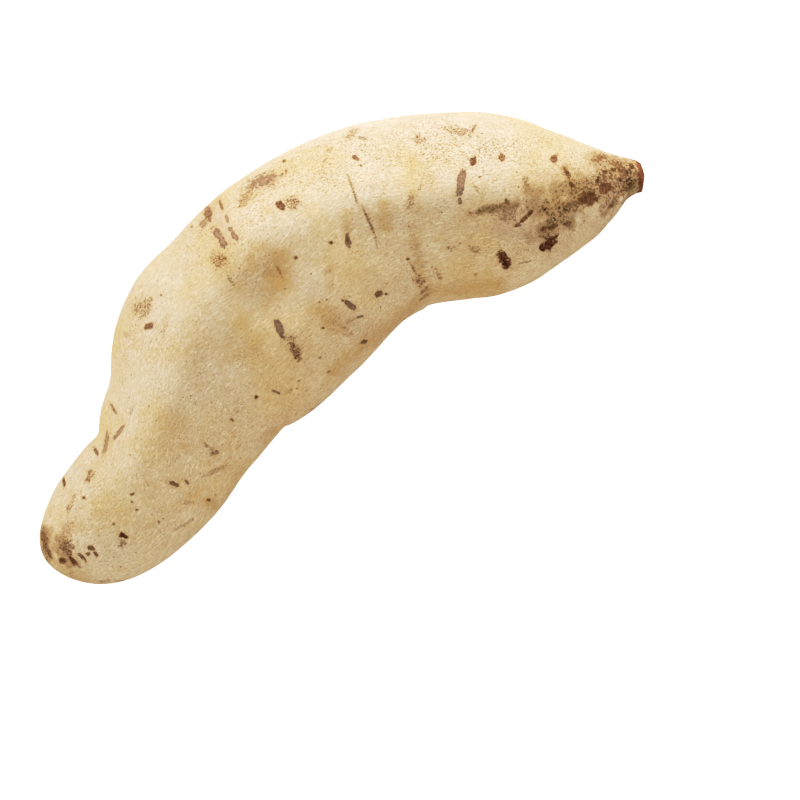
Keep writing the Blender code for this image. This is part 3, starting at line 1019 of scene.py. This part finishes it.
# %% Skin material
CREAM = (0.955, 0.75, 0.505, 1.0)
STRAW = (0.86, 0.6, 0.3, 1.0)
OCHRE = (0.62, 0.35, 0.095, 1.0)
STONE_GREY = (0.62, 0.43, 0.31, 1.0)
LINE_BROWN = (0.46, 0.25, 0.105, 1.0)
FRECKLE_BROWN = (0.32, 0.15, 0.045, 1.0)
SOIL_BROWN = (0.34, 0.195, 0.068, 1.0)
SOIL_DARK = (0.15, 0.062, 0.018, 1.0)
SOIL_BLACK = (0.035, 0.010, 0.003, 1.0)
SCAR_BROWN = (0.2, 0.08, 0.025, 1.0)
HALO_TAN = (0.64, 0.37, 0.15, 1.0)
SCAR_RED = (0.15, 0.036, 0.01, 1.0)
SCAR_GREY = (0.25, 0.140, 0.080, 1.0)
SCAR_BLACK = (0.022, 0.003, 0.001, 1.0)
END_TAN = (0.26, 0.095, 0.034, 1.0)
END_BROWN = (0.15, 0.042, 0.016, 1.0)

skin_look = bpy.data.materials.new("sweet_potato_skin")
skin_look.use_nodes = True
skin_look.node_tree.nodes.clear()
wire = Wiring(skin_look.node_tree)
place = wire.node("ShaderNodeTexCoord").outputs["Object"]
peppered = wire.attribute("pepper")[1]


def grouped(group, **inputs):
    """Places a node group in the skin material and returns its outputs."""
    made = wire.node("ShaderNodeGroup", {"node_tree": group.tree})
    for name, value in inputs.items():
        wire.feed(made.inputs[name], value)
    return made.outputs


grained = grouped(
    grain,
    Place=place,
    Straight=wire.attribute("straight")[0],
    Wrinkle=wire.attribute("wrinkle")[1],
    Pepper=peppered,
)
marked = grouped(
    marks,
    Place=place,
    Mark=wire.attribute("mark_place")[0],
    Look=wire.attribute("mark_look")[0],
    Ragged=wire.attribute("mark_edge")[1],
)
soiled = grouped(soil, Place=place, Dirt=wire.attribute("dirt")[1])

# %% Colours, from the lowest layer to the top
STAIN_SHADE_BOUNCE_SCALE = 260.0  # noise scales, in cells to a metre
TORN_SCALE = 1500.0
TORN_EDGE_SCALE = 900.0
# the stain break below also breaks up the painted shade and painted bounce light brushed in with
# the stains
STAIN_SHADE_BOUNCE_BREAK = 1.3  # how far noise breaks up the edge of a stain, and of the torn face
TORN_BREAK = 1.2
TOOTH_SHARE = 0.24  # how well these two cover plain skin, and how much better the pepper
TOOTH_ON_PEPPER = 0.34
FRECKLE_SHARE = 0.50
FRECKLE_ON_PEPPER = 0.45

# the ochre mask: stains, painted shade in the hollows and groove, and painted warm bounce light at
# the lower right edges
stain_shade_bounce_noise = wire.noise(place, STAIN_SHADE_BOUNCE_SCALE, 7.0, 0.75)
stain_shade_bounce_noise = wire.math("MULTIPLY_ADD", stain_shade_bounce_noise, STAIN_SHADE_BOUNCE_BREAK, -STAIN_SHADE_BOUNCE_BREAK / 2)
stains_shade_and_bounce = wire.ramp(wire.math("ADD", wire.attribute("stain_shade_and_bounce")[1], stain_shade_bounce_noise), 0.05, 1.15)
tooth_share = wire.math("MULTIPLY_ADD", peppered, TOOTH_ON_PEPPER, TOOTH_SHARE)
freckle_share = wire.math("MULTIPLY_ADD", peppered, FRECKLE_ON_PEPPER, FRECKLE_SHARE)
scar = wire.mix(wire.ramp(marked["Dark"], 0.6, 1.0), SCAR_BROWN, SCAR_RED)
scar = wire.mix(marked["Grey"], scar, SCAR_GREY)
torn_spots = wire.ramp(wire.noise(place, TORN_SCALE, 3.0, 0.65), 0.48, 0.62)
torn = wire.mix(torn_spots, END_BROWN, END_TAN)
torn_noise = wire.noise(place, TORN_EDGE_SCALE, 4.0, 0.65)
torn_noise = wire.math("MULTIPLY_ADD", torn_noise, TORN_BREAK, -TORN_BREAK / 2)
torn_face = wire.ramp(wire.math("ADD", wire.attribute("cut_face")[1], torn_noise), 0.15, 0.45)

colour = wire.mix(wire.ramp(grained["Clouds"], 0.35, 0.68), CREAM, STRAW)
for mask, share, paint_colour in (  # where it lies, how well it covers, and its colour
    (grained["Mottle"], 0.34, OCHRE),
    # cream: paler skin, and a painted highlight on the swelling
    (wire.attribute("pale_and_highlight")[1], 0.6, CREAM),
    # ochre: stains, with painted shade and painted warm bounce light
    (stains_shade_and_bounce, 0.85, OCHRE),
    (wire.attribute("grey")[1], 0.6, STONE_GREY),
    (grained["Tooth"], tooth_share, LINE_BROWN),
    (grained["Fibres"], 0.42, LINE_BROWN),
    (grained["Lines"], 0.45, LINE_BROWN),
    (grained["Freckles"], freckle_share, FRECKLE_BROWN),
    (grained["Pores"], 0.9, SCAR_BROWN),
    (marked["Halo"], 0.42, HALO_TAN),
    (soiled["Wash"], 0.74, SOIL_BROWN),
    (soiled["Specks"], 0.85, SOIL_DARK),
    (soiled["Blots"], 0.92, SOIL_BLACK),
    (marked["Mark"], 1.0, scar),
    (marked["Core"], 1.0, SCAR_BLACK),
    (torn_face, 1.0, torn),
):
    colour = wire.mix(wire.math("MULTIPLY", mask, share), colour, paint_colour)

# %% Roughness and relief
ROUGHNESS = 0.48
GRAIN_SCALE = 1700.0
GRAIN_SHARE = 0.8
RELIEF_DEPTH = 0.00024  # metres

rough = ROUGHNESS
for mask, rougher in ((marked["Mark"], 0.35), (soiled["Wash"], 0.25), (grained["Freckles"], 0.1)):
    rough = wire.math("MULTIPLY_ADD", mask, rougher, rough, clamp=True)
height = wire.math("MULTIPLY", wire.noise(place, GRAIN_SCALE, 2.0, 0.55), GRAIN_SHARE)
for mask, rise_share in (
    (grained["Fibres"], -0.8),
    (grained["Lines"], -0.6),
    (grained["Freckles"], -0.3),
    (marked["Mark"], -0.8),
    (soiled["Specks"], 0.4),
):
    height = wire.math("MULTIPLY_ADD", mask, rise_share, height)
bump = wire.node("ShaderNodeBump", Strength=1.0, Distance=RELIEF_DEPTH, Height=height)

# %% The shader
paint = wire.node("ShaderNodeBsdfPrincipled", Base_Color=colour, Roughness=rough)
wire.feed(paint.inputs["Normal"], bump.outputs["Normal"])
paint.inputs["Subsurface Weight"].default_value = 0.12
paint.inputs["Subsurface Radius"].default_value = (1.0, 0.55, 0.25)
paint.inputs["Subsurface Scale"].default_value = 0.003
paint.inputs["Specular IOR Level"].default_value = 0.06
wire.node("ShaderNodeOutputMaterial", Surface=paint.outputs["BSDF"])
skin_mesh.materials.append(skin_look)
print("skin material:", len(skin_look.node_tree.nodes), "nodes and three groups")

# %% Hand the skin to the frame
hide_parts("sweet_potato")
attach(skin, "root")

# %% [markdown]
# ## The floor and the light
# The photograph has a plain white ground. A strong light stands beyond the root's outer side, at
# the top of the picture, and a weaker one on the left. Both are so low that they only graze the
# side that faces up, which is why its ridge and hollows show. A weak, broad light near the camera
# and the white floor keep the rest from going dark.

# %% Floor
FLOOR_SIZE = 6.0
FLOOR_BOUNCE = (0.60, 0.51, 0.37, 1.0)  # the light that the floor throws back at the root
FLOOR_GLOW = 2.2  # light that is added only where the camera sees the floor

plane = bmesh.new()
bmesh.ops.create_grid(plane, x_segments=1, y_segments=1, size=FLOOR_SIZE / 2)
floor_mesh = bpy.data.meshes.new("floor")
plane.to_mesh(floor_mesh)
plane.free()
floor = bpy.data.objects.new("floor", floor_mesh)
bpy.context.scene.collection.objects.link(floor)
floor_look = bpy.data.materials.new("white_floor")
floor_look.use_nodes = True
floor_paint = floor_look.node_tree.nodes["Principled BSDF"]
floor_paint.inputs["Base Color"].default_value = FLOOR_BOUNCE
floor_paint.inputs["Roughness"].default_value = 0.9
floor_paint.inputs["Specular IOR Level"].default_value = 0.1
floor_paint.inputs["Emission Color"].default_value = (1.0, 1.0, 1.0, 1.0)
floor_wire = Wiring(floor_look.node_tree)
straight_look = floor_wire.node("ShaderNodeLightPath").outputs["Is Camera Ray"]
floor_glow = floor_wire.math("MULTIPLY", straight_look, FLOOR_GLOW)
floor_wire.feed(floor_paint.inputs["Emission Strength"], floor_glow)
floor_mesh.materials.append(floor_look)
floor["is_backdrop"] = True


# %% Lights
LIGHT_DISTANCE = 1.6  # metres
SKY_LIGHT = 0.05  # what the surroundings throw at the root
SKY_GLOW = 2.5  # what the camera sees past the floor: white


def area_light(name, picture_degrees, elevation, size, watts, colour=(1.0, 1.0, 1.0)):
    """A square light that faces the root from a side of the picture and a height above it."""
    light = bpy.data.lights.new(name, "AREA")
    light.shape = "SQUARE"
    light.size = size
    light.energy = watts
    light.color = colour
    lamp = bpy.data.objects.new(name, light)
    level = picture_direction(picture_degrees) * math.cos(math.radians(elevation))
    towards = level + Vector((0.0, 0.0, math.sin(math.radians(elevation))))
    lamp.location = towards * LIGHT_DISTANCE
    lamp.rotation_euler = towards.to_track_quat("Z", "Y").to_euler()
    bpy.context.scene.collection.objects.link(lamp)
    return lamp


area_light("top light", picture_degrees=62.0, elevation=4.0, size=0.6, watts=87.0)
area_light("left light", picture_degrees=150.0, elevation=13.0, size=0.6, watts=35.0)
area_light("front light", 285.0, elevation=60.0, size=1.2, watts=26.0, colour=(1.0, 0.97, 0.90))

# %% Sky
sky = bpy.data.worlds.new("studio")
sky.use_nodes = True
sky_paint = sky.node_tree.nodes["Background"]
sky_paint.inputs["Color"].default_value = (1.0, 1.0, 1.0, 1.0)
sky_wire = Wiring(sky.node_tree)
straight_look = sky_wire.node("ShaderNodeLightPath").outputs["Is Camera Ray"]
sky_strength = sky_wire.ramp(straight_look, 0.0, 1.0, SKY_LIGHT, SKY_GLOW)
sky_wire.feed(sky_paint.inputs["Strength"], sky_strength)
bpy.context.scene.world = sky

# %% [markdown]
# A camera doesn't record light in proportion: bright tones are held back so that they stay below
# white. The curve below does the same, and so the lit side stays cream instead of burning out.

# %% Tone curve
BRIGHTEST = 2.0  # this much light becomes white
TONE_POINTS = ((0.09, 0.18), (0.266, 0.533), (0.41, 0.70), (0.55, 0.807), (0.84, 0.947))

picture = bpy.context.scene.view_settings
picture.view_transform = "Standard"
picture.use_curve_mapping = True
tones = picture.curve_mapping
tones.white_level = (BRIGHTEST, BRIGHTEST, BRIGHTEST)
for light_in, light_out in TONE_POINTS:
    tones.curves[3].points.new(light_in, light_out)
tones.update()

# %% Print the dressed size
dressed_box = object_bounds()
dressed_size = dressed_box[1] - dressed_box[0]
print("dressed, in mm:", [round(size / MILLIMETRE, 1) for size in dressed_size])
